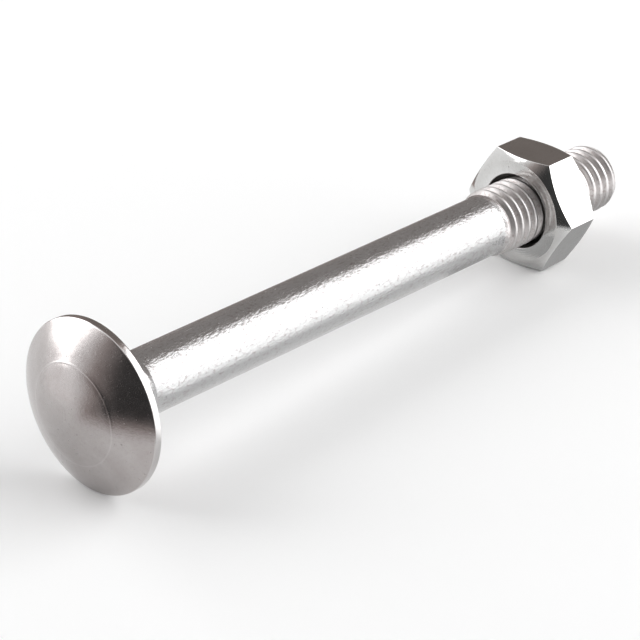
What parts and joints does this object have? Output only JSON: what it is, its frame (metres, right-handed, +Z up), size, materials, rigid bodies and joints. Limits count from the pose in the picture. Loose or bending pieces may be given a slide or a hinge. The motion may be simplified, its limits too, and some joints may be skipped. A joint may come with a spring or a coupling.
{
  "type": "carriage bolt",
  "caption": "Round-head bolt with a square neck, a plain reduced shank, a rolled thread and its hexagon nut, run part way up the thread.",
  "frame": {"origin": "centre of the bearing face under the head, on the bolt's axis", "axes": "+X along the bolt from head to tip, level; the bolt's axis is tipped down by the rest angle of 2.27 degrees, so that the rim and the nut stand on one level floor; +Z up, away from that floor"},
  "size_m": [0.1052, 0.0236, 0.0237],
  "materials": {
    "bolt_zinc": "bright zinc plating, satin on the shank",
    "nut_zinc": "bright zinc plating, glossy"
  },
  "bodies": {
    "bolt": {"bolt": "bolt_zinc"},
    "nut": {"nut": "nut_zinc"}
  },
  "joints": [
    {"name": "nut_travel", "type": "slide", "parent": "bolt", "child": "nut", "axis": [0.9992, 0, -0.0397], "range_m": [-0.006, 0.018]}
  ]
}
